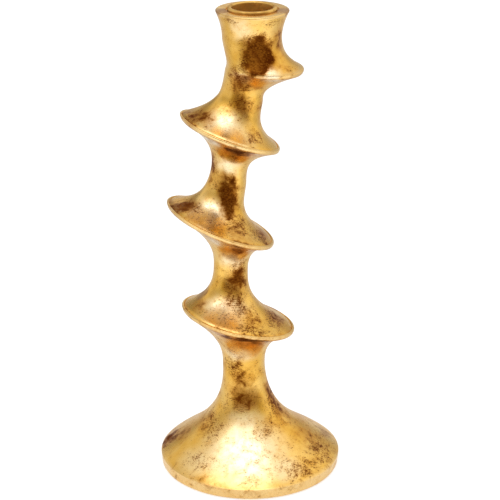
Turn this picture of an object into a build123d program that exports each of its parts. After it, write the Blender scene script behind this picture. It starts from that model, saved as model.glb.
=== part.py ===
"""Gilded candle holder: a leaning stem with tilted flanges on a round foot, with a lift-out cup."""
import os
from math import cos, pi, radians, sin, tan

from build123d import *

# Candle cup, drawn from sheet brass
candle_radius = 11.25
cup_depth = 21.0
cup_wall = 0.8
cup_floor = 1.0
lip_width = 1.45
lip_height = 2.2
lip_crest = 0.18
cup_clearance = 0.3
socket_floor_gap = 0.5
lip_recess_depth = 0.6
lip_recess_gap = 0.9

# Rim and upper neck of the stem: sideways place of the centre, rise above the level below, radius
rim_offset = 1.25
rim_rise = 15.0
rim_radius = 19.95
rim_round = 0.7
rim_flare = 1.8
top_neck_offset = 1.05
top_neck_rise = 16.6
top_neck_radius = 16.2

# Flanges, counted from the top: place, rise, radius and fall of the disc to the right in degrees
flange_1_offset = 7.95
flange_1_rise = 12.0
flange_1_radius = 21.4
flange_1_tilt = 5.4
flange_2_offset = -11.0
flange_2_rise = 21.7
flange_2_radius = 29.2
flange_2_tilt = 19.8
flange_3_offset = -16.45
flange_3_rise = 26.8
flange_3_radius = 32.2
flange_3_tilt = 21.7
flange_4_offset = -6.7
flange_4_rise = 28.5
flange_4_radius = 32.9
flange_4_tilt = 12.6
flange_back_tilt = 4.0

# Necks between the flanges, whose narrowest line falls more steeply than the flanges do
neck_12_offset = -3.45
neck_12_rise = 25.2
neck_12_radius = 11.9
neck_12_tilt = 26.5
neck_23_offset = -11.55
neck_23_rise = 31.4
neck_23_radius = 11.1
neck_23_tilt = 30.0
neck_34_offset = -10.85
neck_34_rise = 30.7
neck_34_radius = 10.1
neck_34_tilt = 16.5
foot_neck_offset = -3.6
foot_neck_radius = 12.1

# How sharply each flange flares out of its necks, above and below, and how far the upper flare leans left
flare_above_1 = 3.4
flare_below_1 = 2.3
flare_above_2 = 2.9
flare_below_2 = 2.9
flare_above_3 = 4.0
flare_below_3 = 2.6
flare_above_4 = 2.75
flare_below_4 = 2.65
flare_lean_1 = -0.85
flare_lean_2 = 3.15
flare_lean_3 = 2.85
flare_lean_4 = 0.25
tilt_hold = 1.2

# Rounded edge band of a flange
edge_thickness = 2.4
edge_inset = 1.1
edge_wrap = 70.0

# Foot
foot_height = 61.7
foot_radius = 52.0
band_height = 6.0
band_taper = 0.5
band_round = 0.6
skirt_drop = 34.3
skirt_reach = 15.2
skirt_crown = 13.7
skirt_wall = 6.0
skirt_drift = 0.8
ground_gap = 0.6

# Tie rod through stem and foot, with its clamping hardware
rod_offset = -9.5
rod_radius = 3.0
rod_length = 196.0
rod_tail = 1.5
rod_end_gap = 3.5
rod_clearance = 0.05
clamp_washer_radius = 8.0
clamp_washer_thickness = 1.6
clamp_washer_gap = 0.5
lock_washer_radius = 5.9
lock_washer_thickness = 1.6
lock_washer_split = 1.2
nut_sides = 6
nut_across_flats = 10.0
nut_thickness = 5.0
nut_chamfer = 0.5

# Dowel that stops the stem from turning on the foot
dowel_offset = 3.0
dowel_radius = 1.5
dowel_length = 16.0
dowel_clearance = 0.02
dowel_end_gap = 0.5

# Closing parts under the foot
rim_wall = 5.0
ledge_width = 3.0
plate_thickness = 2.5
plate_clearance = 0.2
felt_thickness = 2.0
felt_inset = 0.5
ballast_height = 10.0
ballast_bore = 11.0
ballast_round = 0.8
ballast_clearance = 0.5
screw_count = 3
screw_radius = 1.75
screw_head_radius = 3.4
screw_reach = 7.0
screw_clearance = 0.05
screw_tip_gap = 0.5
boss_radius = 5.0
boss_overlap = 1.0

# Heights, worked out from the ground up
flange_4_height = foot_height + flange_4_rise
neck_34_height = flange_4_height + neck_34_rise
flange_3_height = neck_34_height + flange_3_rise
neck_23_height = flange_3_height + neck_23_rise
flange_2_height = neck_23_height + flange_2_rise
neck_12_height = flange_2_height + neck_12_rise
flange_1_height = neck_12_height + flange_1_rise
top_neck_height = flange_1_height + top_neck_rise
rim_height = top_neck_height + rim_rise
plate_bottom = felt_thickness
plate_top = plate_bottom + plate_thickness
band_top = ground_gap + band_height
rod_bottom = plate_top + ballast_height + rod_end_gap
nut_bottom = rod_bottom + rod_tail
lock_washer_bottom = nut_bottom + nut_thickness
clamp_washer_bottom = lock_washer_bottom + lock_washer_thickness
web_bottom = clamp_washer_bottom + clamp_washer_thickness

# Radii shared by parts that fit together
cup_radius = candle_radius + cup_wall
socket_radius = cup_radius + cup_clearance
lip_radius = cup_radius + lip_width
lip_recess_radius = lip_radius + lip_recess_gap
rebate_radius = foot_radius - rim_wall
plate_radius = rebate_radius - plate_clearance
mouth_radius = rebate_radius - ledge_width
boss_circle = mouth_radius - boss_radius + boss_overlap

# Fractions of a flare at which its sections stand
flare_steps = (0.0, 0.07, 0.17, 0.3, 0.46, 0.64, 0.82, 1.0)
skirt_steps = 10
edge_steps = 6
lean_scale = 27 / 4
halvings = 40


class Section:
    """A circle across the stem: sideways place, height, radius and the fall of its plane."""

    def __init__(self, offset, height, radius, tilt=0.0, back_tilt=0.0):
        self.offset = offset
        self.height = height
        self.radius = radius
        self.tilt = tilt
        self.back_tilt = back_tilt

    def normal(self):
        return Vector(tan(radians(self.tilt)), tan(radians(self.back_tilt)), 1).normalized()

    def wire(self):
        along = Vector(1, 0, -tan(radians(self.tilt)))
        plane = Plane((self.offset, 0, self.height), x_dir=along, z_dir=self.normal())
        return Wire.make_circle(self.radius, plane)


def blend(start, end, share):
    return start + (end - start) * share


def flare_sections(wide, neck, sharpness, lean=0.0):
    """Sections from a wide circle to the neck it grows from."""
    sections = []
    for step in flare_steps:
        spread = (1 - step) ** sharpness
        levelling = (1 - step) ** tilt_hold
        sway = lean * lean_scale * step * (1 - step) ** 2
        sections.append(Section(
            blend(neck.offset, wide.offset, spread) - sway,
            blend(wide.height, neck.height, step),
            blend(neck.radius, wide.radius, spread),
            blend(neck.tilt, wide.tilt, levelling),
            blend(neck.back_tilt, wide.back_tilt, levelling),
        ))
    return sections


def edge_section(flange, turn, fading):
    """Section of a flange's rounded edge; a fading edge stays flush with the stem on its left."""
    half = edge_thickness / 2
    rise = half * sin(radians(turn)) / sin(radians(edge_wrap))
    inset = edge_inset * (1 - cos(radians(turn))) / (1 - cos(radians(edge_wrap)))
    shrink = inset / 2 if fading else inset
    shift = -inset / 2 if fading else 0.0
    return Section(flange.offset + shift, flange.height + rise, flange.radius - shrink,
                   flange.tilt, flange.back_tilt)


def flange_edge(flange, fading=False):
    turns = [edge_wrap - 2 * edge_wrap * step / edge_steps for step in range(edge_steps + 1)]
    return loft_through([edge_section(flange, turn, fading) for turn in turns])


def loft_through(sections):
    return Solid.make_loft([section.wire() for section in sections])


def sewn(bodies):
    """One solid from bodies stacked end to end, without the faces where they meet."""
    faces = [face for body in bodies for face in body.faces()]
    ends = [face for face in faces if face.geom_type == GeomType.PLANE]
    skin = [face for face in faces if face.geom_type != GeomType.PLANE]
    lowest_to_highest = ShapeList(ends).sort_by(Axis.Z)
    return Solid(Shell(skin + [lowest_to_highest[0], lowest_to_highest[-1]]))


def cylinder_between(x, y, radius, low, high):
    base = Plane((x, y, low))
    return Solid.make_cylinder(radius, high - low, base)


def skirt_point(share):
    """Radius and height on the foot's skirt, from its neck (0) to the top of the band (1)."""
    points = [
        (foot_neck_radius, foot_height),
        (foot_neck_radius, foot_height - skirt_drop),
        (foot_radius - skirt_reach, band_top + skirt_crown),
        (foot_radius, band_top),
    ]
    weights = [(1 - share) ** 3, 3 * share * (1 - share) ** 2, 3 * share ** 2 * (1 - share), share ** 3]
    radius = sum(weight * point[0] for weight, point in zip(weights, points))
    height = sum(weight * point[1] for weight, point in zip(weights, points))
    return radius, height


def skirt_offset(height):
    return foot_neck_offset * ((height - band_top) / (foot_height - band_top)) ** skirt_drift


def skirt_height_at(radius):
    """Height at which the skirt has this radius."""
    low, high = 0.0, 1.0
    for halving in range(halvings):
        middle = (low + high) / 2
        if skirt_point(middle)[0] < radius:
            low = middle
        else:
            high = middle
    return skirt_point(low)[1]


def skirt_radius_at(height):
    """Radius of the skirt at this height."""
    low, high = 0.0, 1.0
    for halving in range(halvings):
        middle = (low + high) / 2
        if skirt_point(middle)[1] > height:
            low = middle
        else:
            high = middle
    return skirt_point(low)[0]


def screw_places():
    return [(boss_circle * cos(angle), boss_circle * sin(angle))
            for angle in (pi / 2 + 2 * pi * index / screw_count for index in range(screw_count))]


def make_stem():
    flange_1 = Section(flange_1_offset, flange_1_height, flange_1_radius, flange_1_tilt)
    flange_2 = Section(flange_2_offset, flange_2_height, flange_2_radius, flange_2_tilt, flange_back_tilt)
    flange_3 = Section(flange_3_offset, flange_3_height, flange_3_radius, flange_3_tilt, flange_back_tilt)
    flange_4 = Section(flange_4_offset, flange_4_height, flange_4_radius, flange_4_tilt, flange_back_tilt)
    rim = Section(rim_offset, rim_height, rim_radius)
    top_neck = Section(top_neck_offset, top_neck_height, top_neck_radius)
    neck_12 = Section(neck_12_offset, neck_12_height, neck_12_radius, neck_12_tilt, flange_back_tilt)
    neck_23 = Section(neck_23_offset, neck_23_height, neck_23_radius, neck_23_tilt, flange_back_tilt)
    neck_34 = Section(neck_34_offset, neck_34_height, neck_34_radius, neck_34_tilt, flange_back_tilt)
    foot_neck = Section(foot_neck_offset, foot_height, foot_neck_radius)

    def upper_flare(flange, neck, sharpness, lean, fading=False):
        return flare_sections(edge_section(flange, edge_wrap, fading), neck, sharpness, lean)[::-1]

    def lower_flare(flange, neck, sharpness, fading=False):
        return flare_sections(edge_section(flange, -edge_wrap, fading), neck, sharpness)

    runs = [
        flare_sections(rim, top_neck, rim_flare)[:-1]
        + upper_flare(flange_1, top_neck, flare_above_1, flare_lean_1, True),
        lower_flare(flange_1, neck_12, flare_below_1, True)[:-1]
        + upper_flare(flange_2, neck_12, flare_above_2, flare_lean_2),
        lower_flare(flange_2, neck_23, flare_below_2)[:-1]
        + upper_flare(flange_3, neck_23, flare_above_3, flare_lean_3),
        lower_flare(flange_3, neck_34, flare_below_3)[:-1]
        + upper_flare(flange_4, neck_34, flare_above_4, flare_lean_4),
        lower_flare(flange_4, foot_neck, flare_below_4),
    ]
    bodies = [loft_through(run) for run in runs]
    bodies.append(flange_edge(flange_1, True))
    bodies += [flange_edge(flange) for flange in (flange_2, flange_3, flange_4)]
    stem = sewn(bodies)
    stem = stem.fillet(rim_round, [stem.edges().sort_by(Axis.Z)[-1]])

    seat_height = rim_height - lip_recess_depth
    socket_bottom = seat_height - cup_depth - cup_floor - socket_floor_gap
    rod_top = rod_bottom + rod_length
    stem -= cylinder_between(rim_offset, 0, lip_recess_radius, seat_height, rim_height + lip_height)
    stem -= cylinder_between(rim_offset, 0, socket_radius, socket_bottom, rim_height)
    stem -= cylinder_between(rod_offset, 0, rod_radius + rod_clearance, 0, rod_top + rod_clearance)
    stem -= cylinder_between(dowel_offset, 0, dowel_radius + dowel_clearance, 0,
                             foot_height + dowel_length / 2 + dowel_end_gap)
    return stem


def make_foot():
    sections = []
    for step in range(skirt_steps + 1):
        radius, height = skirt_point(step / skirt_steps)
        sections.append(Section(skirt_offset(height), height, radius))
    skirt = loft_through(sections)
    band = Solid.make_cone(foot_radius - band_taper, foot_radius, band_height, Plane((0, 0, ground_gap)))
    foot = skirt.fuse(band)
    bottom_edge = foot.edges().sort_by(Axis.Z)[0]
    foot = foot.fillet(band_round, [bottom_edge])

    ceiling = skirt_radius_at(web_bottom) - skirt_wall
    shoulder = skirt_height_at(mouth_radius + skirt_wall)
    cavity = Solid.make_loft([
        Section(0, shoulder, mouth_radius).wire(),
        Section(skirt_offset(web_bottom), web_bottom, ceiling).wire(),
    ], ruled=True)
    cavity = cavity.fuse(cylinder_between(0, 0, mouth_radius, plate_top, shoulder))
    for x, y in screw_places():
        cavity -= cylinder_between(x, y, boss_radius, 0, foot_height)
    foot -= cavity
    foot -= cylinder_between(rod_offset, 0, clamp_washer_radius + clamp_washer_gap, rod_bottom, web_bottom)
    foot -= cylinder_between(0, 0, rebate_radius, 0, plate_top)
    for x, y in screw_places():
        foot -= cylinder_between(x, y, screw_radius + screw_clearance, plate_top,
                                 plate_top + screw_reach + screw_tip_gap)
    foot -= cylinder_between(rod_offset, 0, rod_radius + rod_clearance, 0, foot_height + rod_length)
    foot -= cylinder_between(dowel_offset, 0, dowel_radius + dowel_clearance,
                             foot_height - dowel_length / 2 - dowel_end_gap, foot_height + dowel_length)
    return foot


def make_cup():
    """Straight cup hanging by a rounded lip on its seat in the stem."""
    seat = rim_height - lip_recess_depth
    floor_top = seat - cup_depth
    floor_bottom = floor_top - cup_floor
    shell = cylinder_between(rim_offset, 0, cup_radius, floor_bottom, seat + lip_height)
    lip = cylinder_between(rim_offset, 0, lip_radius, seat, seat + lip_height)
    cup = shell.fuse(lip)
    cup -= cylinder_between(rim_offset, 0, candle_radius, floor_top, seat + lip_height)
    crown = (lip_radius - candle_radius - lip_crest) / 2
    top_edges = [edge for edge in cup.edges() if abs(edge.center().Z - seat - lip_height) < cup_clearance]
    return cup.fillet(crown, top_edges)


def make_rod():
    rod = cylinder_between(rod_offset, 0, rod_radius, rod_bottom, rod_bottom + rod_length)
    ends = rod.edges().filter_by(GeomType.CIRCLE)
    return rod.chamfer(rod_tail / 2, None, ends)


def make_clamp_washer():
    low = clamp_washer_bottom
    washer = cylinder_between(rod_offset, 0, clamp_washer_radius, low, web_bottom)
    return washer - cylinder_between(rod_offset, 0, rod_radius + rod_clearance, low, web_bottom)


def make_lock_washer():
    low = lock_washer_bottom
    high = clamp_washer_bottom
    washer = cylinder_between(rod_offset, 0, lock_washer_radius, low, high)
    washer -= cylinder_between(rod_offset, 0, rod_radius + rod_clearance, low, high)
    split = Solid.make_box(lock_washer_radius * 2, lock_washer_split, lock_washer_thickness,
                           Plane((rod_offset, -lock_washer_split / 2, low)))
    return washer - split


def make_nut():
    low = nut_bottom
    high = lock_washer_bottom
    corner_radius = nut_across_flats / 2 / cos(pi / nut_sides)
    profile = Pos(rod_offset, 0, low) * RegularPolygon(corner_radius, nut_sides)
    nut = extrude(profile, nut_thickness)
    turned = cylinder_between(rod_offset, 0, corner_radius, low, high)
    turned = turned.chamfer(nut_chamfer, None, turned.edges().filter_by(GeomType.CIRCLE))
    nut &= turned
    return nut - cylinder_between(rod_offset, 0, rod_radius + rod_clearance, low, high)


def make_dowel():
    low = foot_height - dowel_length / 2
    dowel = cylinder_between(dowel_offset, 0, dowel_radius, low, low + dowel_length)
    return dowel.chamfer(dowel_end_gap, None, dowel.edges().filter_by(GeomType.CIRCLE))


def make_ballast():
    outer = boss_circle - boss_radius - ballast_clearance
    ring = cylinder_between(0, 0, outer, plate_top, plate_top + ballast_height)
    ring -= cylinder_between(0, 0, ballast_bore, plate_top, plate_top + ballast_height)
    return ring.fillet(ballast_round, ring.edges().filter_by(GeomType.CIRCLE).group_by(Axis.Z)[-1])


def screw_solid(x, y, slack=0.0):
    """Countersunk screw with its head flush under the plate."""
    head_height = screw_head_radius - screw_radius
    head = Solid.make_cone(screw_head_radius + slack, screw_radius + slack, head_height,
                           Plane((x, y, plate_bottom)))
    shank = cylinder_between(x, y, screw_radius + slack, plate_bottom, plate_top + screw_reach)
    return head.fuse(shank)


def make_plate():
    plate = cylinder_between(0, 0, plate_radius, plate_bottom, plate_top)
    for x, y in screw_places():
        plate -= screw_solid(x, y, screw_clearance)
    return plate


def make_screws():
    return Compound(children=[screw_solid(x, y) for x, y in screw_places()])


def make_felt():
    return cylinder_between(0, 0, plate_radius - felt_inset, 0, felt_thickness)


os.makedirs("parts", exist_ok=True)
parts = {
    "spiral_stem": make_stem(),
    "foot": make_foot(),
    "candle_cup": make_cup(),
    "tie_rod": make_rod(),
    "clamp_washer": make_clamp_washer(),
    "lock_washer": make_lock_washer(),
    "hex_nut": make_nut(),
    "locating_dowel": make_dowel(),
    "ballast_ring": make_ballast(),
    "base_plate": make_plate(),
    "base_plate_screws": make_screws(),
    "felt_pad": make_felt(),
}
for node, shape in parts.items():
    export_step(shape, f"parts/{node}.step")
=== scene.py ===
import math

import bmesh
import bpy
from mathutils import Matrix, Vector, noise


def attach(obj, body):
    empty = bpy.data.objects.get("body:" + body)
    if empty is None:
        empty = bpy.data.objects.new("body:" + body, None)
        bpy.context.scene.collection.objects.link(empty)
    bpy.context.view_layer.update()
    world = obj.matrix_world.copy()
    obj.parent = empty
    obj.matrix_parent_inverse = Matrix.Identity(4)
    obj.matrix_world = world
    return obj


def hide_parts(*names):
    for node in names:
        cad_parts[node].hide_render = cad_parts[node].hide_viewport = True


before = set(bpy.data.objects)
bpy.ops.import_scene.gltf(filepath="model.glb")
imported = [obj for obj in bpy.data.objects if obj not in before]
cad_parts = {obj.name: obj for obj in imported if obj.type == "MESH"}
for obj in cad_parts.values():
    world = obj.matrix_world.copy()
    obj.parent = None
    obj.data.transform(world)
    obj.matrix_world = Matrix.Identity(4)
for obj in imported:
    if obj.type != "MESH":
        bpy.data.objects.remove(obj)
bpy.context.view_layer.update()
scene = bpy.context.scene
mm = 0.001
print("frame loaded:", len(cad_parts), "nodes")


# node helpers, so that each finish below reads as a short list of steps
def addNode(tree, kind, inputs=None, **settings):
    node = tree.nodes.new(kind)
    for name, value in settings.items():
        setattr(node, name, value)
    for name, value in (inputs or {}).items():
        plug(tree, value, node.inputs[name])
    return node


def plug(tree, value, socket):
    if isinstance(value, bpy.types.NodeSocket):
        tree.links.new(value, socket)
    else:
        socket.default_value = value


def newFinish(name):
    finish = bpy.data.materials.new(name)
    finish.use_nodes = True
    tree = finish.node_tree
    shader = tree.nodes["Principled BSDF"]
    place = addNode(tree, "ShaderNodeTexCoord").outputs["Object"]
    return finish, tree, shader, place


def grain(tree, place, size, detail=2.0, roughness=0.5, distortion=0.0):
    # size is the width of a blotch in mm
    node = addNode(tree, "ShaderNodeTexNoise", {
        "Vector": place, "Scale": 1000 / size, "Detail": detail,
        "Roughness": roughness, "Distortion": distortion})
    return node.outputs["Fac"]


def sums(tree, operation, first, second=0.0, clamp=False):
    node = addNode(tree, "ShaderNodeMath", {0: first, 1: second}, operation=operation, use_clamp=clamp)
    return node.outputs[0]


def fade(tree, value, low, high, toLow=0.0, toHigh=1.0):
    node = addNode(tree, "ShaderNodeMapRange", {
        "Value": value, "From Min": low, "From Max": high, "To Min": toLow, "To Max": toHigh},
        interpolation_type="SMOOTHSTEP")
    return node.outputs["Result"]


def mixColour(tree, share, first, second):
    node = addNode(tree, "ShaderNodeMix", {0: share, 6: first, 7: second}, data_type="RGBA")
    return node.outputs[2]


def colourSteps(tree, value, steps):
    node = addNode(tree, "ShaderNodeValToRGB", {"Fac": value})
    points = node.color_ramp.elements
    points[0].position, points[0].color = steps[0]
    points[1].position, points[1].color = steps[-1]
    for position, colour in steps[1:-1]:
        points.new(position).color = colour
    return node.outputs["Color"]


def bumped(tree, height, strength, depth):
    node = addNode(tree, "ShaderNodeBump", {"Height": height, "Strength": strength, "Distance": depth * mm})
    return node.outputs["Normal"]


# gold leaf over a red-brown ground; under a brown glaze and painted shade in some places, paler in painted
# highlights, and worn to the ground in others
leaf = {
    # the bright colour is the pale gold of painted highlights, and the darkest colour serves both brown glaze
    # and painted shade
    "pale": (0.95, 0.62, 0.19, 1), "gold": (0.90, 0.53, 0.105, 1), "orange": (0.82, 0.44, 0.062, 1),
    "bright": (1.0, 0.87, 0.62, 1), "amber": (0.56, 0.205, 0.016, 1), "tan": (0.44, 0.26, 0.16, 1),
    "glazeAndShade": (0.095, 0.018, 0.0012, 1), "brown": (0.33, 0.112, 0.010, 1), "maroon": (0.15, 0.036, 0.003, 1),
    "sheenRoughness": 0.22, "groundRoughness": 0.45, "reliefStrength": 0.35, "reliefDepth": 0.12,
    # widths of the marks in mm, and how far a fleck is drawn out
    "toneSize": 22, "cloudSize": 26, "blotSize": 5, "creaseSize": 9, "fleckSize": 1.2, "speckSize": 0.9,
    "fleckDraw": 2.4, "fleckTurn": (0.3, -0.35, 0),
    # how much each cause counts in the mottle, the glaze and painted shade, bare ground, the painted
    # highlight and edge polish, rub, gloss and relief
    "cloudShare": 0.8, "blotShare": 1.5, "placedGlazeAndShadeShare": 0.8, "mottleShare": 0.7, "hollowShadeShare": 0.05,
    "wearShare": 0.2, "fleckWear": 0.33, "creaseShare": 0.7, "edgePolishAndHighlight": 0.3, "rubMottle": 0.6,
    "amberShare": 1.3, "groundDull": 0.35, "glazeAndShadeRough": 0.2, "blotRelief": 0.5, "groundRelief": -0.35,
    # ramps: from, to, and the values there where they aren't 0 and 1
    "highlightPaintRamp": (0.7, 0.35, 0.7, 1), "glazeAndShadeRamp": (-0.04, 0.8, 0, 0.97),
    "speckRamp": (0.54, 0.74, 1.0, 0.72), "rubRamp": (0.3, 0.85, 0, 0.85),
    "groundRamp": (0.58, 0.76), "creaseRamp": (0.012, 0.0),
    "creaseWorn": (0.1, 0.4), "edgeSpared": (0, 1, 1, 0.35), "edgeRubbed": (0.6, 0.7, 0, 0.5),
    "maroonRamp": (0.4, 0.62), "darkRamp": (0.32, 0.95), "dullRamp": (0.6, 0.97, 0, 0.6),
    "sheenRamp": (0.3, 0.75, 0, 0.14),
    # edges of a place stray by some mm; a place ends at fadeEnd times its reach and fades over fadeWidth
    "edgeSize": 5, "edgeStray": 2.2, "edgeSeed": 5, "fadeEnd": 1.3, "fadeWidth": 1.1,
    # each place: where in mm, reach round and reach up in mm, how fully; those behind are guessed
    # places of brown glaze, partly painted shade under the rolled edges and painted dark reflections
    "glazeAndShadePlaces": [
        ((4, -16.5, 252.5), 8, 8, 0.75), ((5.5, -17, 247), 9, 9, 0.95), ((10.5, -16.5, 245.5), 7, 5.5, 0.85),
        ((3.5, -18.5, 242), 6.5, 4.8, 0.85), ((3, -15, 231), 7, 4, 0.3), ((-7, -12, 233), 7, 9, 0.4),
        ((-3, -12, 219), 6, 9, 0.3), ((-27, -12, 213), 12, 6, 0.5), ((2, -16, 203), 7, 5, 0.3),
        ((-8, -21, 197), 10, 3, 0.8), ((-3, -19, 194.5), 7, 3.5, 0.8), ((1, -27, 87.5), 10, 3, 0.65),
        ((-13, -25, 89), 9, 3, 0.55), ((15, -9, 255), 6, 11, 0.45), ((17, -12, 240), 6, 4, 0.35),
        ((6, -5, 213), 5, 9, 0.35), ((-20, -5, 181), 5, 12, 0.38), ((-12, -11, 175), 6.5, 8, 0.55),
        ((-12, -11, 165), 7, 9, 0.7), ((-11, -15, 158), 5, 4, 0.45), ((-36, -10, 160), 9, 5.5, 0.55),
        ((-8, -20, 151), 8, 5, 0.27), ((-5, -25, 147), 9, 4, 0.38), ((6, -2, 142), 9, 5, 0.3),
        ((-4, -17, 137), 8, 3.5, 0.5), ((-6, -9, 121), 6, 8, 0.35), ((-7, -10, 114), 8, 6, 0.5),
        ((-10, -13, 106), 9, 5, 0.25), ((0, -19, 97), 9, 6, 0.3), ((15, -3, 90), 9, 6, 0.3),
        ((-29, -10, 102), 7, 5, 0.45), ((-6, -30, 89), 10, 3, 0.55), ((3, -21, 83), 9, 4, 0.5),
        ((-6, -12, 63), 6, 10, 0.2), ((-6, -12, 52), 9, 9, 0.36), ((-2, -15, 44), 9, 6, 0.42),
        ((12, -3, 46), 7, 11, 0.5), ((20, -5, 34), 10, 10, 0.4), ((12, -18, 31), 6, 10, 0.2),
        ((33, -8, 20), 13, 7, 0.3), ((42, -16, 12), 16, 8, 0.06), ((29, -35, 11), 15, 7, 0.08),
        ((-47, 5, 10), 10, 7, 0.6), ((-27, -6, 26), 11, 7, 0.36), ((-37, -2, 17), 11, 6, 0.42),
        ((-25, -43, 8), 12, 4, 0.3), ((20, 20, 140), 14, 8, 0.45), ((-10, 24, 205), 14, 8, 0.45),
        ((-15, 11, 172), 6, 12, 0.45), ((8, 26, 84), 14, 5, 0.5), ((3, 13, 55), 8, 10, 0.4),
        ((30, 35, 14), 16, 8, 0.4), ((-4, 16, 250), 9, 9, 0.5),
    ],
    # painted highlights: paler gold where highlights fall, some on undersides, with guessed ones behind
    "paintedHighlights": [
        ((-5, -17, 263), 8, 8, 0.5), ((11, -19, 238.5), 7, 5, 1.0), ((-14, -16, 210), 13, 8, 1.0),
        ((-13, -12, 185), 10, 6, 0.7), ((-22, -16, 160), 13, 8, 1.0), ((-10, -12, 130), 9, 6, 0.7),
        ((-15, -16, 102), 14, 7, 1.0), ((-27, -17, 203), 13, 6, 1.0), ((-14, -20, 143), 13, 5, 0.8),
        ((-4, -17, 236), 9, 4, 0.5), ((-6, -14, 73), 11, 6, 0.8), ((-3, -34, 20), 27, 18, 1.0),
        ((-3, -19, 34), 11, 9, 0.7), ((10, 15, 210), 11, 8, 0.7), ((-26, 15, 158), 11, 8, 0.7),
        ((2, 20, 102), 12, 8, 0.7), ((4, 38, 18), 24, 14, 0.8), ((-23, -17, 158), 10, 6, 0.9),
        ((-24, -25, 155), 8, 4, 0.4), ((-15, -27, 97), 14, 6, 0.3), ((-8, -24, 202), 13, 6, 0.5),
        ((20, -39, 13), 12, 7, 0.5), ((-32, -32, 13), 14, 8, 0.4), ((-42, -12, 163), 9, 4, 0.8),
    ],
    "rubbed": [
        ((-15, -3, 270), 9, 3, 0.9), ((18, -3, 270), 9, 3, 0.9), ((1, 17, 270), 14, 3, 0.9),
        ((2, -17, 270), 8, 2, 0.6), ((17, -6, 252), 6, 10, 0.6), ((-33, 0, 214), 9, 5, 0.7),
        ((9, 0, 142), 12, 5, 0.8), ((-45, 0, 161), 9, 5, 0.5), ((17, 0, 90), 12, 5, 0.7),
        ((-26, 1, 105), 10, 6, 0.8), ((46, 10, 12), 14, 6, 0.6), ((-48, 9, 11), 11, 6, 0.6),
        ((10, 24, 200), 12, 6, 0.7), ((-20, 28, 146), 12, 6, 0.7), ((-4, 46, 12), 16, 6, 0.6),
    ],
    "worn": [
        ((4, -16, 252), 10, 11, 0.7), ((2, -18, 243), 9, 8, 0.8), ((-7, -13, 235), 9, 9, 0.55),
        ((-4, -12, 219), 7, 8, 0.4), ((-32, -10, 212), 12, 6, 0.35), ((2, -16, 203), 8, 6, 0.45),
        ((-20, -5, 180), 5, 11, 0.5), ((-11, -11, 168), 6, 13, 0.4), ((-35, -11, 160), 11, 6, 0.4),
        ((-14, -22, 152), 14, 7, 0.24), ((-4, -15, 151), 8, 7, 0.5), ((5, -7, 143), 11, 6, 0.5),
        ((-5, -8, 124), 6, 9, 0.55), ((-8, -10, 115), 8, 6, 0.55), ((-10, -12, 107), 9, 5, 0.42),
        ((-4, -19, 99), 13, 9, 0.34), ((15, -6, 91), 13, 7, 0.5), ((0, -25, 93), 10, 5, 0.42),
        ((-9, -11, 66), 7, 11, 0.5), ((-6, -15, 43), 12, 9, 0.38), ((15, -7, 38), 9, 13, 0.42),
        ((-22, -15, 28), 15, 10, 0.44), ((12, -19, 30), 7, 11, 0.32), ((-49, 1, 9), 11, 9, 0.5),
        ((42, -12, 12), 16, 9, 0.3), ((27, -37, 11), 14, 7, 0.3), ((-29, -32, 14), 13, 7, 0.25),
        ((-25, -45, 5), 13, 4, 0.46), ((-5, -51, 4), 12, 3, 0.42), ((23, -46, 4), 10, 4, 0.38),
        ((-11, -15, 267), 6, 4, 0.5), ((14, -15, 265), 6, 5, 0.46), ((-5, 14, 235), 10, 12, 0.5),
        ((-15, 12, 172), 8, 14, 0.5), ((-12, 28, 98), 16, 8, 0.5), ((10, 30, 24), 18, 12, 0.45),
    ],
}
noise.seed_set(leaf["edgeSeed"])  # without a seed the edges would stray in another way in each run


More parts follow.
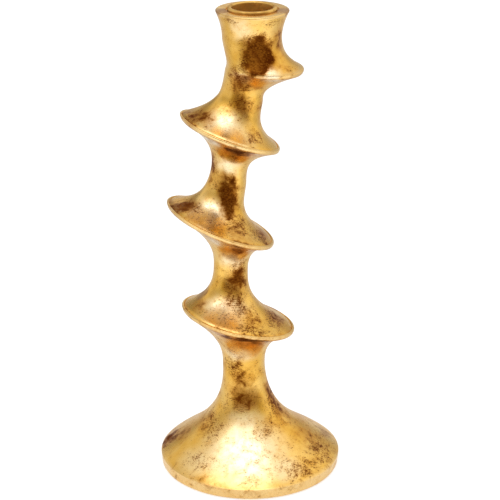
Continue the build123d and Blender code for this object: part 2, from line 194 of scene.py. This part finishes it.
def gildedFinish():
    finish, tree, shader, place = newFinish("gildedLeaf")
    hollowShade, edge, wear, glazeAndShadePlaces, highlightPaint, rub = (
        addNode(tree, "ShaderNodeAttribute", attribute_name=name).outputs["Fac"]
        for name in ("hollowShade", "edge", "wear", "glazeAndShade", "highlightPaint", "rub"))
    cloud = grain(tree, place, leaf["cloudSize"], 3, 0.6, 0.6)
    blot = grain(tree, place, leaf["blotSize"], 5, 0.7, 0.3)
    drawn = addNode(tree, "ShaderNodeMapping", {
        "Vector": place, "Rotation": leaf["fleckTurn"], "Scale": (1, 1, leaf["fleckDraw"])}).outputs["Vector"]
    fleck = grain(tree, drawn, leaf["fleckSize"], 3, 0.75, 0.4)
    gold = colourSteps(tree, grain(tree, place, leaf["toneSize"], 4, 0.55, 0.4), [
        (0.33, leaf["orange"]), (0.46, leaf["gold"]), (0.66, leaf["pale"])])
    # painted highlight: paler gold at the listed places and along the edges, which are partly polished there
    # too
    highlightPaint = sums(tree, "MAXIMUM", highlightPaint, sums(tree, "MULTIPLY", edge, leaf["edgePolishAndHighlight"]))
    highlightPaint = sums(tree, "MULTIPLY", highlightPaint, fade(tree, blot, *leaf["highlightPaintRamp"]))
    gold = mixColour(tree, highlightPaint, gold, leaf["bright"])
    cloudPart = sums(tree, "MULTIPLY", sums(tree, "SUBTRACT", cloud, 0.5), leaf["cloudShare"])
    blotPart = sums(tree, "MULTIPLY", sums(tree, "SUBTRACT", blot, 0.5), leaf["blotShare"])
    mottle = sums(tree, "ADD", cloudPart, blotPart)
    worn = sums(tree, "ADD", wear, mottle)
    # brown glaze together with painted shade from the hollows, under the rolled edges and in the creases, and
    # painted dark reflections at the listed places
    glazeAndShade = sums(tree, "MULTIPLY", glazeAndShadePlaces, leaf["placedGlazeAndShadeShare"])
    for cause, share in ((mottle, "mottleShare"), (hollowShade, "hollowShadeShare"), (wear, "wearShare")):
        glazeAndShade = sums(tree, "ADD", glazeAndShade, sums(tree, "MULTIPLY", cause, leaf[share]))
    glazeAndShade = fade(tree, glazeAndShade, *leaf["glazeAndShadeRamp"])
    speck = fade(tree, grain(tree, place, leaf["speckSize"], 2, 0.6), *leaf["speckRamp"])
    glazeAndShade = sums(tree, "MULTIPLY", glazeAndShade, speck)
    rub = sums(tree, "ADD", rub, sums(tree, "MULTIPLY", mottle, leaf["rubMottle"]))
    rub = fade(tree, rub, *leaf["rubRamp"])
    ground = sums(tree, "ADD", fleck, sums(tree, "MULTIPLY", worn, leaf["fleckWear"]))
    ground = fade(tree, ground, *leaf["groundRamp"])
    crease = sums(tree, "SUBTRACT", grain(tree, place, leaf["creaseSize"], 3, 0.6, 1.6), 0.5)
    crease = sums(tree, "ABSOLUTE", crease)
    crease = fade(tree, crease, *leaf["creaseRamp"])
    crease = sums(tree, "MULTIPLY", crease, fade(tree, worn, *leaf["creaseWorn"]))
    ground = sums(tree, "MAXIMUM", ground, sums(tree, "MULTIPLY", crease, leaf["creaseShare"]))
    ground = sums(tree, "MULTIPLY", ground, fade(tree, edge, *leaf["edgeSpared"]))
    rubbed = sums(tree, "MULTIPLY", edge, fade(tree, blot, *leaf["edgeRubbed"]))
    ground = sums(tree, "MAXIMUM", ground, rubbed)
    brown = mixColour(tree, fade(tree, blot, *leaf["maroonRamp"]), leaf["brown"], leaf["maroon"])
    tone = mixColour(tree, rub, gold, leaf["tan"])
    tone = mixColour(tree, sums(tree, "MULTIPLY", glazeAndShade, leaf["amberShare"], clamp=True), tone, leaf["amber"])
    tone = mixColour(tree, fade(tree, glazeAndShade, *leaf["darkRamp"]), tone, leaf["glazeAndShade"])
    plug(tree, mixColour(tree, ground, tone, brown), shader.inputs["Base Color"])
    dull = sums(tree, "MULTIPLY", ground, leaf["groundDull"])
    dull = sums(tree, "ADD", dull, fade(tree, glazeAndShade, *leaf["dullRamp"]))
    plug(tree, sums(tree, "SUBTRACT", 1.0, dull, clamp=True), shader.inputs["Metallic"])
    sheen = sums(tree, "ADD", fade(tree, blot, *leaf["sheenRamp"]), leaf["sheenRoughness"])
    covered = sums(tree, "MAXIMUM", glazeAndShade, rub)
    sheen = sums(tree, "ADD", sheen, sums(tree, "MULTIPLY", covered, leaf["glazeAndShadeRough"]))
    plug(tree, sums(tree, "MAXIMUM", sheen, sums(tree, "MULTIPLY", ground, leaf["groundRoughness"])),
         shader.inputs["Roughness"])
    shader.inputs["Specular IOR Level"].default_value = 0.0
    relief = sums(tree, "ADD", sums(tree, "MULTIPLY", blot, leaf["blotRelief"]),
                  sums(tree, "MULTIPLY", ground, leaf["groundRelief"]))
    plug(tree, bumped(tree, relief, leaf["reliefStrength"], leaf["reliefDepth"]), shader.inputs["Normal"])
    return finish


def nearPlaces(co, places):
    bare = 1.0
    spot = co / mm + noise.noise_vector(co / (leaf["edgeSize"] * mm)) * leaf["edgeStray"]
    for (x, y, z), wide, tall, fully in places:
        away = math.hypot((spot.x - x) / wide, (spot.y - y) / wide, (spot.z - z) / tall)
        near = min(1, max(0, (leaf["fadeEnd"] - away) / leaf["fadeWidth"]))
        bare *= 1 - fully * near * near * (3 - 2 * near)
    return 1 - bare


# rings that a skin is pulled through; tilt and back are the fall of a ring in degrees
def ringAt(x, z, r, tilt=0.0, back=0.0):
    along = Vector((1, 0, -math.tan(math.radians(tilt)))).normalized()
    normal = Vector((math.tan(math.radians(tilt)), math.tan(math.radians(back)), 1)).normalized()
    across = normal.cross(along)
    turn = Matrix((along, across, normal)).transposed().to_4x4()
    return Matrix.Translation(Vector((x, 0, z)) * mm) @ turn @ Matrix.Scale(r * mm, 4)


def pulledSkin(bm, rings, segments):
    # rings: (matrix, painted shade in hollows, edge); the skin starts as a disc, is extruded from ring to
    # ring and closed
    hollowShadeLayer = bm.verts.layers.float.get("hollowShade") or bm.verts.layers.float.new("hollowShade")
    edgeLayer = bm.verts.layers.float.get("edge") or bm.verts.layers.float.new("edge")
    first = bmesh.ops.create_circle(bm, cap_ends=False, segments=segments, radius=1.0, matrix=rings[0][0])
    verts = first["verts"]
    loop = list(dict.fromkeys(e for v in verts for e in v.link_edges))
    for v in verts:
        v[hollowShadeLayer], v[edgeLayer] = rings[0][1:]
    bmesh.ops.contextual_create(bm, geom=loop)
    for (below, _, _), (above, hollowShade, edge) in zip(rings, rings[1:]):
        grown = bmesh.ops.extrude_edge_only(bm, edges=loop)["geom"]
        verts = [g for g in grown if isinstance(g, bmesh.types.BMVert)]
        fresh = set(verts)
        loop = [g for g in grown if isinstance(g, bmesh.types.BMEdge) and fresh.issuperset(g.verts)]
        bmesh.ops.transform(bm, matrix=above @ below.inverted(), verts=verts)
        for v in verts:
            v[hollowShadeLayer], v[edgeLayer] = hollowShade, edge
    bmesh.ops.contextual_create(bm, geom=loop)


def handFinish(bm, depth, size):
    # the slight waviness of a hand-finished casting, the same on stem and foot where they meet, and its
    # marks: wear, rub, glaze with painted shade, and painted highlights
    marks = {"wear": "worn", "glazeAndShade": "glazeAndShadePlaces", "highlightPaint": "paintedHighlights", "rub": "rubbed"}
    for name in marks:
        bm.verts.layers.float.new(name)
    layers = [(bm.verts.layers.float[name], leaf[places]) for name, places in marks.items()]
    bm.normal_update()
    for v in bm.verts:
        v.co += v.normal * depth * mm * noise.noise(v.co / (size * mm))
        for layer, places in layers:
            v[layer] = nearPlaces(v.co, places)


def finishedPiece(name, bm, finish, sharp=40):
    bmesh.ops.recalc_face_normals(bm, faces=bm.faces)
    mesh = bpy.data.meshes.new(name)
    bm.to_mesh(mesh)
    bm.free()
    for face in mesh.polygons:
        face.use_smooth = True
    mesh.set_sharp_from_angle(angle=math.radians(sharp))
    mesh.materials.append(finish)
    piece = bpy.data.objects.new(name, mesh)
    scene.collection.objects.link(piece)
    print(name, "has", len(mesh.polygons), "faces")
    return piece


def mixed(start, end, share):
    return start + (end - start) * share


# stem: flanges and the necks between them, from the foot up; x is the lean to the side
stem = {
    "segments": 160, "flareRings": 24, "edgeRings": 16, "ringCrowding": 1.6,
    "edgeThick": 2.8, "edgeInset": 1.1, "edgeWrap": 66, "edgeWaist": 0.7, "edgeFade": 12, "tiltHold": 1.2,
    "creaseDepth": 0.55, "creaseShape": (0, 1, 0.35),
    "waviness": 0.10, "waveSize": 17,
    # painted shade under the rolled edges, in their creases and in the socket
    "underLipShade": 7, "underEdge": 0.1, "creaseShade": 10, "socketShade": 0.5,
    "meltTall": 15, "meltCore": 3, "meltFrom": -8, "meltTo": 4, "meltClear": 0.1,
    "meltSteps": 12, "meltPasses": 12, "meltFactor": 0.5,
    "necks": [
        {"x": -3.6, "z": 61.7, "r": 12.1, "tilt": 0, "back": 0},
        {"x": -10.85, "z": 120.9, "r": 10.1, "tilt": 16.5, "back": 4},
        {"x": -11.55, "z": 179.1, "r": 11.1, "tilt": 30, "back": 4},
        {"x": -3.45, "z": 226.0, "r": 11.9, "tilt": 26.5, "back": 4},
        {"x": 1.05, "z": 254.6, "r": 16.2, "tilt": 0, "back": 0},
    ],
    "flanges": [
        {"x": -6.7, "z": 90.2, "r": 32.9, "tilt": 12.6, "back": 4,
         "below": 2.65, "above": 2.75, "lean": 0.25},
        {"x": -16.45, "z": 147.7, "r": 32.2, "tilt": 21.7, "back": 4,
         "below": 2.6, "above": 4.0, "lean": 2.85},
        {"x": -11.0, "z": 200.8, "r": 29.2, "tilt": 19.8, "back": 4,
         "below": 2.9, "above": 2.9, "lean": 3.15},
        {"x": 7.95, "z": 238.0, "r": 21.4, "tilt": 5.4, "back": 0,
         "below": 2.3, "above": 3.4, "lean": -0.85, "fading": True},
    ],
    "rim": {"x": 1.25, "z": 269.6, "r": 19.95, "tilt": 0, "back": 0},
    "rimFlare": 1.8, "rimRound": 0.7, "rimRings": 5,
    "recessRadius": 14.4, "seat": 269.0, "socketRadius": 12.35, "socketFloor": 246.5,
}


def edgeOf(flange, turn):
    # one ring of a flange's rolled edge, widest above its middle; a fading edge stays flush on its left
    wrap = math.radians(stem["edgeWrap"])
    waist = stem["edgeWaist"]
    reach = stem["edgeThick"] / 2 - math.copysign(waist, turn)
    rise = waist + reach * math.sin(turn) / math.sin(wrap)
    inset = stem["edgeInset"] * (1 - math.cos(turn)) / (1 - math.cos(wrap))
    shift = inset / 2 if flange.get("fading", False) else 0
    return {"x": flange["x"] - shift, "z": flange["z"] + rise, "r": flange["r"] - (shift or inset),
            "tilt": flange["tilt"], "back": flange["back"]}


def flareRings(wide, neck, sharpness, lean=0.0, crease=0.0, underShade=0.0):
    # from the wide end to the neck it grows from, with a crease just inside a rolled edge, and painted shade
    # towards the neck, in the crease and under the rolled edge
    rings = []
    for step in range(stem["flareRings"] + 1):
        share = (step / stem["flareRings"]) ** stem["ringCrowding"]
        spread = (1 - share) ** sharpness
        level = (1 - share) ** stem["tiltHold"]
        # share * (1 - share) ** 2 is 4 / 27 at its most, so that lean is the widest sway
        sway = lean * 27 / 4 * share * (1 - share) ** 2
        sunk = crease * stem["creaseShape"][step] if step < len(stem["creaseShape"]) else 0
        matrix = ringAt(mixed(neck["x"], wide["x"], spread) - sway,
                        mixed(wide["z"], neck["z"], share) - sunk,
                        mixed(neck["r"], wide["r"], spread),
                        mixed(neck["tilt"], wide["tilt"], level),
                        mixed(neck["back"], wide["back"], level))
        # painted shade: darker towards the neck, in the crease and under a rolled edge
        shaded = max(1 - spread, stem["creaseShade"] * sunk, underShade * (1 - stem["edgeFade"] * share))
        rings.append((matrix, shaded, max(0, 1 - share * stem["edgeFade"]) if crease == 0 else 0))
    return rings


def meltRunOut(bm):
    # the top flange runs out into the stem on its left, where its rolled edge melts away bit by bit
    top = stem["flanges"][-1]
    hollowShadeLayer, edgeLayer = bm.verts.layers.float["hollowShade"], bm.verts.layers.float["edge"]
    axis = Vector((stem["rim"]["x"], 0)) * mm
    socketTo = (stem["socketRadius"] + stem["meltClear"]) * mm
    socketFrom = (stem["socketFloor"] - stem["meltClear"]) * mm
    around = [v for v in bm.verts if abs(v.co.z / mm - top["z"]) < stem["meltTall"]
              and not (v.co.z > socketFrom and (v.co.xy - axis).length < socketTo)]
    for v in around:
        kept = (v.co.x / mm - stem["meltFrom"]) / (stem["meltTo"] - stem["meltFrom"])
        kept = min(1, max(0, kept))
        v[edgeLayer] *= kept
        v[hollowShadeLayer] = mixed(min(1, v[hollowShadeLayer]), v[hollowShadeLayer], kept)
    for step in range(stem["meltSteps"]):
        share = step / stem["meltSteps"]
        limit = mixed(stem["meltTo"], stem["meltFrom"], share) * mm
        tall = mixed(stem["meltTall"], stem["meltCore"], share) * mm
        melting = [v for v in around if v.co.x < limit and abs(v.co.z - top["z"] * mm) < tall]
        for _ in range(stem["meltPasses"]):
            bmesh.ops.smooth_vert(bm, verts=melting, factor=stem["meltFactor"],
                                  use_axis_x=True, use_axis_y=True, use_axis_z=True)


def makeStem(finish):
    wrap = math.radians(stem["edgeWrap"])
    rings = []
    for flange, below, above in zip(stem["flanges"], stem["necks"], stem["necks"][1:]):
        # painted shade under each rolled edge and on its lower half
        underShade = stem["underLipShade"]
        rings += flareRings(edgeOf(flange, -wrap), below, flange["below"], underShade=underShade)[::-1]
        for step in range(1, stem["edgeRings"]):
            up = 2 * step / stem["edgeRings"] - 1
            shaded = underShade * max(0, -up - stem["underEdge"])
            rings.append((ringAt(**edgeOf(flange, wrap * up)), shaded, 1.0))
        crease = 0 if flange.get("fading") else stem["creaseDepth"]
        rings += flareRings(edgeOf(flange, wrap), above, flange["above"], flange["lean"], crease)[:-1]
    rim = stem["rim"]
    arc = stem["rimRound"]
    underRim = dict(rim, z=rim["z"] - arc)
    rings += flareRings(underRim, stem["necks"][-1], stem["rimFlare"])[::-1]
    for step in range(1, stem["rimRings"] + 1):
        turn = math.radians(90 * step / stem["rimRings"])
        rings.append((ringAt(rim["x"], rim["z"] - arc + arc * math.sin(turn),
                             rim["r"] - arc + arc * math.cos(turn)), 0.0, 1.0))
    socket = ((stem["recessRadius"], rim["z"]), (stem["recessRadius"], stem["seat"]),
              (stem["socketRadius"], stem["seat"]), (stem["socketRadius"], stem["socketFloor"]))
    for radius, height in socket:
        rings.append((ringAt(rim["x"], height, radius), stem["socketShade"], 0.0))
    bm = bmesh.new()
    pulledSkin(bm, rings, stem["segments"])
    meltRunOut(bm)
    handFinish(bm, stem["waviness"], stem["waveSize"])
    piece = finishedPiece("gildedStem", bm, finish)
    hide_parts("spiral_stem")
    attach(piece, "holder")


# foot: a skirt that falls from the neck to an upright band, hollow underneath
foot = {
    "segments": 192, "skirtRings": 56, "neckRadius": 12.1, "neckHeight": 61.7, "lean": -3.6, "drift": 0.8,
    "radius": 52.0, "bandTop": 6.6, "bandTaper": 0.5, "bandRound": 0.6, "ground": 0.6,
    "drop": 34.3, "reach": 15.2, "crown": 13.7,
    "rebateRadius": 47.0, "mouthRadius": 44.0, "ledge": 4.5, "shoulder": 9.0, "web": 27.7,
    # painted shade inside the hollow underneath
    "ceilingRadius": 19.0, "undersideShade": 0.6,
    "edgeFade": 1.5, "bandRings": (0.04, 0.5, 0.96), "roundRings": 4,
}


def skirtPoint(share):
    points = ((foot["neckRadius"], foot["neckHeight"]),
              (foot["neckRadius"], foot["neckHeight"] - foot["drop"]),
              (foot["radius"] - foot["reach"], foot["bandTop"] + foot["crown"]),
              (foot["radius"], foot["bandTop"]))
    weights = ((1 - share) ** 3, 3 * share * (1 - share) ** 2, 3 * share ** 2 * (1 - share), share ** 3)
    radius = sum(w * p[0] for w, p in zip(weights, points))
    height = sum(w * p[1] for w, p in zip(weights, points))
    return radius, height


def skirtLean(height):
    tall = foot["neckHeight"] - foot["bandTop"]
    return foot["lean"] * max(0, (height - foot["bandTop"]) / tall) ** foot["drift"]


def makeFoot(finish):
    rings = []
    for step in range(foot["skirtRings"] + 1):
        radius, height = skirtPoint(step / foot["skirtRings"])
        nearBand = max(0, 1 - (height - foot["bandTop"]) / foot["edgeFade"])
        # painted shade on the skirt, darker towards the neck
        rings.append((ringAt(skirtLean(height), height, radius), 1 - step / foot["skirtRings"], nearBand))
    lowRadius = foot["radius"] - foot["bandTaper"]
    arc = foot["bandRound"]
    for share in foot["bandRings"]:
        rings.append((ringAt(0, mixed(foot["bandTop"], foot["ground"] + arc, share),
                             mixed(foot["radius"], lowRadius, share)), 0.0, 1.0))
    for step in range(foot["roundRings"] + 1):
        turn = math.radians(90 * step / foot["roundRings"])
        rings.append((ringAt(0, foot["ground"] + arc - arc * math.sin(turn),
                             lowRadius - arc + arc * math.cos(turn)), 0.0, 1.0))
    underside = ((foot["rebateRadius"], foot["ground"]), (foot["rebateRadius"], foot["ledge"]),
                 (foot["mouthRadius"], foot["ledge"]), (foot["mouthRadius"], foot["shoulder"]))
    for radius, height in underside:
        rings.append((ringAt(0, height, radius), foot["undersideShade"], 0.0))
    ceiling = ringAt(skirtLean(foot["web"]), foot["web"], foot["ceilingRadius"])
    rings.append((ceiling, foot["undersideShade"], 0.0))
    bm = bmesh.new()
    pulledSkin(bm, rings, foot["segments"])
    handFinish(bm, stem["waviness"], stem["waveSize"])
    piece = finishedPiece("gildedFoot", bm, finish)
    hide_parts("foot")
    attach(piece, "holder")


# candle cup: drawn brass with a rolled lip
cup = {
    "segments": 128, "x": 1.25, "inner": 11.25, "wall": 0.8, "lipWidth": 1.45, "seat": 269.0,
    "lipHeight": 2.2, "depth": 21.0, "floor": 1.0, "round": 1.035, "roundRings": 8, "capShare": 0.5,
    "bright": (0.86, 0.56, 0.18, 1), "dull": (0.62, 0.36, 0.10, 1), "soot": (0.60, 0.34, 0.09, 1),
    "tarnishSize": 9, "fineSize": 1.2, "smooth": 0.34, "rough": 0.6, "relief": 0.05,
}


def brassFinish():
    finish, tree, shader, place = newFinish("agedBrass")
    tarnish = grain(tree, place, cup["tarnishSize"], 4, 0.6, 0.5)
    fine = grain(tree, place, cup["fineSize"], 3, 0.6)
    brass = mixColour(tree, fade(tree, tarnish, 0.38, 0.66), cup["bright"], cup["dull"])
    height = addNode(tree, "ShaderNodeSeparateXYZ", {0: place}).outputs["Z"]
    deep = fade(tree, height, cup["seat"] * mm, (cup["seat"] - cup["depth"]) * mm)
    sooty = sums(tree, "MULTIPLY", deep, fade(tree, tarnish, 0.3, 0.7, 0.6, 1.0))
    plug(tree, mixColour(tree, sooty, brass, cup["soot"]), shader.inputs["Base Color"])
    shader.inputs["Metallic"].default_value = 1.0
    uneven = sums(tree, "ADD", tarnish, fine)
    plug(tree, fade(tree, uneven, 0.7, 1.3, cup["smooth"], cup["rough"]), shader.inputs["Roughness"])
    plug(tree, bumped(tree, fine, 0.2, cup["relief"]), shader.inputs["Normal"])
    return finish


def makeCup(finish):
    outer = cup["inner"] + cup["wall"]
    lip = outer + cup["lipWidth"]
    top = cup["seat"] + cup["lipHeight"]
    floorTop = cup["seat"] - cup["depth"]
    arc = cup["round"]
    under = floorTop - cup["floor"]
    profile = [(outer * cup["capShare"], under), (outer, under), (outer, cup["seat"]), (lip, cup["seat"])]
    for step in range(cup["roundRings"] + 1):
        turn = math.radians(90 * step / cup["roundRings"])
        profile.append((lip - arc + arc * math.cos(turn), top - arc + arc * math.sin(turn)))
    for step in range(cup["roundRings"] + 1):
        turn = math.radians(90 + 90 * step / cup["roundRings"])
        profile.append((cup["inner"] + arc + arc * math.cos(turn), top - arc + arc * math.sin(turn)))
    profile += [(cup["inner"], floorTop), (cup["inner"] * cup["capShare"], floorTop)]
    bm = bmesh.new()
    pulledSkin(bm, [(ringAt(cup["x"], z, r), 0.0, 0.0) for r, z in profile], cup["segments"])
    piece = finishedPiece("brassCup", bm, finish)
    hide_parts("candle_cup")
    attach(piece, "cup")


# felt pad under the foot
felt = {
    "segments": 128, "radius": 46.3, "thick": 2.0, "soft": 0.4, "softRings": 3,
    "rings": (0.25, 0.5, 0.75, 0.95), "capShare": 0.5,
    "dark": (0.018, 0.015, 0.013, 1), "light": (0.05, 0.045, 0.04, 1),
    "fibreSize": 0.8, "cloudSize": 12, "roughness": 0.95, "sheen": 0.4, "nap": 0.3,
}


def feltFinish():
    finish, tree, shader, place = newFinish("woolFelt")
    fibre = grain(tree, place, felt["fibreSize"], 4, 0.7, 1.2)
    cloud = grain(tree, place, felt["cloudSize"], 3)
    tone = sums(tree, "ADD", sums(tree, "MULTIPLY", fibre, 0.7), sums(tree, "MULTIPLY", cloud, 0.3))
    wool = mixColour(tree, fade(tree, tone, 0.35, 0.65), felt["dark"], felt["light"])
    plug(tree, wool, shader.inputs["Base Color"])
    shader.inputs["Roughness"].default_value = felt["roughness"]
    shader.inputs["Sheen Weight"].default_value = felt["sheen"]
    plug(tree, bumped(tree, fibre, 0.8, felt["nap"]), shader.inputs["Normal"])
    return finish


def makeFelt(finish):
    soft = felt["soft"]
    profile = [(felt["radius"] * share, 0.0) for share in felt["rings"]]
    for step in range(felt["softRings"] + 1):
        turn = math.radians(90 * step / felt["softRings"])
        profile.append((felt["radius"] - soft + soft * math.sin(turn), soft - soft * math.cos(turn)))
    profile += [(felt["radius"], felt["thick"]), (felt["radius"] * felt["capShare"], felt["thick"])]
    bm = bmesh.new()
    pulledSkin(bm, [(ringAt(0, z, r), 0.0, 0.0) for r, z in profile], felt["segments"])
    piece = finishedPiece("feltPad", bm, finish)
    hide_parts("felt_pad")
    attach(piece, "holder")


# metal inside the foot and stem keeps its solid shape
hidden = {
    "zincSteel": {
        "nodes": ["tie_rod", "clamp_washer", "lock_washer", "hex_nut", "locating_dowel", "base_plate_screws"],
        "light": (0.62, 0.63, 0.65, 1), "dark": (0.40, 0.41, 0.42, 1),
        "metal": 1.0, "size": 3.0, "smooth": 0.25, "dull": 0.45},
    "rawIron": {
        "nodes": ["ballast_ring"],
        "light": (0.14, 0.13, 0.13, 1), "dark": (0.06, 0.05, 0.045, 1),
        "metal": 0.8, "size": 1.6, "smooth": 0.5, "dull": 0.8},
    "blackPlate": {
        "nodes": ["base_plate"],
        "light": (0.05, 0.05, 0.05, 1), "dark": (0.03, 0.03, 0.032, 1),
        "metal": 0.0, "size": 0.9, "smooth": 0.35, "dull": 0.6},
}


def finishHidden():
    for name, look in hidden.items():
        finish, tree, shader, place = newFinish(name)
        tone = grain(tree, place, look["size"], 5, 0.6)
        colour = mixColour(tree, fade(tree, tone, 0.35, 0.65), look["dark"], look["light"])
        plug(tree, colour, shader.inputs["Base Color"])
        shader.inputs["Metallic"].default_value = look["metal"]
        plug(tree, fade(tree, tone, 0.3, 0.7, look["smooth"], look["dull"]), shader.inputs["Roughness"])
        plug(tree, bumped(tree, tone, 0.3, 0.1), shader.inputs["Normal"])
        for node in look["nodes"]:
            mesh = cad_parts[node].data
            mesh.materials.clear()
            mesh.materials.append(finish)


# studio: a pale floor that ends in front, a wide soft box overhead to the left, pale sides and a dark room in
# front; the angles are degrees round from the camera and up from level
studio = {
    "floorSize": 6.0, "floorFront": 0.5, "floorTurn": -42, "floorColour": (0.72, 0.72, 0.72, 1),
    "floorRoughness": 0.9, "floorSpecular": 0.1,
    # the floor's white; what metal shows of it fades from near to far between two depths
    "floorGlow": 0.6, "glowNear": 1.1, "glowFar": 0.25, "glowFront": -0.25, "glowBack": 0.15,
    "boxes": [
        {"name": "softBox", "at": (-0.22, -0.38, 1.05), "to": (-0.22, -0.38, 0), "wide": 1.1, "deep": 0.74,
         "power": 2.45, "tint": (0.95, 0.98, 1.08)},
    ],
    "sides": 0.815, "fill": 0.75, "white": (1, 1, 1, 1), "sideTint": (1, 0.95, 0.81, 1),
    "roomAmber": (1, 0.88, 0.36, 1), "roomBrown": (1, 0.5, 0.05, 1), "amberAt": 0.35,
    # each side of a zone fades between two angles, and the zone multiplies the level
    "zones": [
        {"name": "glow", "left": (-130, -95), "right": (120, 170),
         "low": (28, 62), "high": (100, 120), "times": 1.2},
        {"name": "ceiling", "left": (-200, -190), "right": (190, 200),
         "low": (52, 74), "high": (100, 120), "times": 1.1},
        {"name": "wall", "left": (-130, -100), "right": (-60, -30),
         "low": (8, 20), "high": (28, 42), "times": 0.68},
        {"name": "rightWall", "left": (60, 90), "right": (120, 150),
         "low": (-5, 8), "high": (50, 75), "times": 1.22},
        {"name": "room", "left": (-66, -28), "right": (52, 84),
         "low": (-26, -12), "high": (4, 40), "times": 0.15},
        {"name": "gap", "left": (-172, -160), "right": (-148, -134),
         "low": (0, 12), "high": (52, 66), "times": 0.4},
        {"name": "backLeft", "left": (-200, -190), "right": (-150, -125),
         "low": (-20, -8), "high": (0, 12), "times": 0.6},
        {"name": "backRight", "left": (125, 150), "right": (190, 200),
         "low": (-20, -8), "high": (10, 26), "times": 0.6},
    ],
}


def makeFloor():
    bm = bmesh.new()
    half = studio["floorSize"] / 2
    bmesh.ops.create_grid(bm, x_segments=1, y_segments=1, size=half,
                          matrix=Matrix.Rotation(math.radians(studio["floorTurn"]), 4, "Z")
                          @ Matrix.Translation((0, half - studio["floorFront"], 0)))
    mesh = bpy.data.meshes.new("floor")
    bm.to_mesh(mesh)
    bm.free()
    floor = bpy.data.objects.new("floor", mesh)
    scene.collection.objects.link(floor)
    finish = bpy.data.materials.new("paleFloor")
    finish.use_nodes = True
    tree = finish.node_tree
    shader = tree.nodes["Principled BSDF"]
    shader.inputs["Base Color"].default_value = studio["floorColour"]
    shader.inputs["Roughness"].default_value = studio["floorRoughness"]
    shader.inputs["Specular IOR Level"].default_value = studio["floorSpecular"]
    path = addNode(tree, "ShaderNodeLightPath").outputs
    seen = sums(tree, "ADD", path["Is Camera Ray"], path["Is Transmission Ray"])
    place = addNode(tree, "ShaderNodeTexCoord").outputs["Object"]
    depth = addNode(tree, "ShaderNodeSeparateXYZ", {0: place}).outputs["Y"]
    near = fade(tree, depth, studio["glowFront"], studio["glowBack"], studio["glowNear"], studio["glowFar"])
    seen = sums(tree, "ADD", seen, sums(tree, "MULTIPLY", path["Is Glossy Ray"], near))
    shader.inputs["Emission Color"].default_value = studio["white"]
    plug(tree, sums(tree, "MULTIPLY", seen, studio["floorGlow"]), shader.inputs["Emission Strength"])
    mesh.materials.append(finish)


def between(tree, value, rise, fall):
    return sums(tree, "MULTIPLY", fade(tree, value, *rise), fade(tree, value, *reversed(fall)))


def makeSurroundings():
    world = bpy.data.worlds.new("studio")
    scene.world = world
    world.use_nodes = True
    tree = world.node_tree
    sky = tree.nodes["Background"]
    path = addNode(tree, "ShaderNodeLightPath").outputs
    toward = addNode(tree, "ShaderNodeTexCoord").outputs["Generated"]
    ways = addNode(tree, "ShaderNodeSeparateXYZ", {0: toward}).outputs
    turn = sums(tree, "DEGREES", sums(tree, "ARCTAN2", ways["X"], sums(tree, "MULTIPLY", ways["Y"], -1.0)))
    rise = sums(tree, "DEGREES", sums(tree, "ARCSINE", ways["Z"]))
    level = studio["sides"]
    for zone in studio["zones"]:
        inside = sums(tree, "MULTIPLY", between(tree, turn, zone["left"], zone["right"]),
                      between(tree, rise, zone["low"], zone["high"]))
        change = sums(tree, "ADD", sums(tree, "MULTIPLY", inside, zone["times"] - 1), 1.0)
        level = sums(tree, "MULTIPLY", level, change)
        if zone["name"] == "room":
            brown = inside
    mirrored = sums(tree, "MULTIPLY", path["Is Glossy Ray"], level)
    scattered = sums(tree, "MULTIPLY", path["Is Diffuse Ray"], studio["fill"])
    seen = sums(tree, "ADD", path["Is Camera Ray"], path["Is Transmission Ray"], clamp=True)
    seen = sums(tree, "MAXIMUM", seen, sums(tree, "MAXIMUM", mirrored, scattered))
    tint = colourSteps(tree, brown, [
        (0.0, studio["sideTint"]), (studio["amberAt"], studio["roomAmber"]), (1.0, studio["roomBrown"])])
    plug(tree, mixColour(tree, path["Is Glossy Ray"], studio["white"], tint), sky.inputs["Color"])
    plug(tree, seen, sky.inputs["Strength"])


def makeLights():
    for box in studio["boxes"]:
        lamp = bpy.data.lights.new(box["name"], "AREA")
        lamp.shape = "RECTANGLE"
        lamp.size, lamp.size_y = box["wide"], box["deep"]
        lamp.energy, lamp.color = box["power"], box["tint"]
        light = bpy.data.objects.new(box["name"], lamp)
        light.location = box["at"]
        light.rotation_euler = (Vector(box["to"]) - Vector(box["at"])).to_track_quat("-Z", "Y").to_euler()
        scene.collection.objects.link(light)


# camera in front of the holder, looking a little down on it
view = {"back": 0.93493, "up": 0.49657, "fall": 21.344,
        "lens": 128.28, "sensor": 36.0, "near": 0.01, "far": 50}


def makeCamera():
    lens = bpy.data.cameras.new("camera")
    lens.lens, lens.sensor_width = view["lens"], view["sensor"]
    lens.clip_start, lens.clip_end = view["near"], view["far"]
    camera = bpy.data.objects.new("camera", lens)
    camera.location = (0, -view["back"], view["up"])
    camera.rotation_euler = (math.radians(90 - view["fall"]), 0, 0)
    scene.collection.objects.link(camera)
    scene.camera = camera


scene.view_settings.view_transform = "Standard"
gilding = gildedFinish()
makeStem(gilding)
makeFoot(gilding)
makeCup(brassFinish())
makeFelt(feltFinish())
finishHidden()
print("holder dressed")
makeFloor()
makeSurroundings()
makeLights()
makeCamera()
print("studio ready")
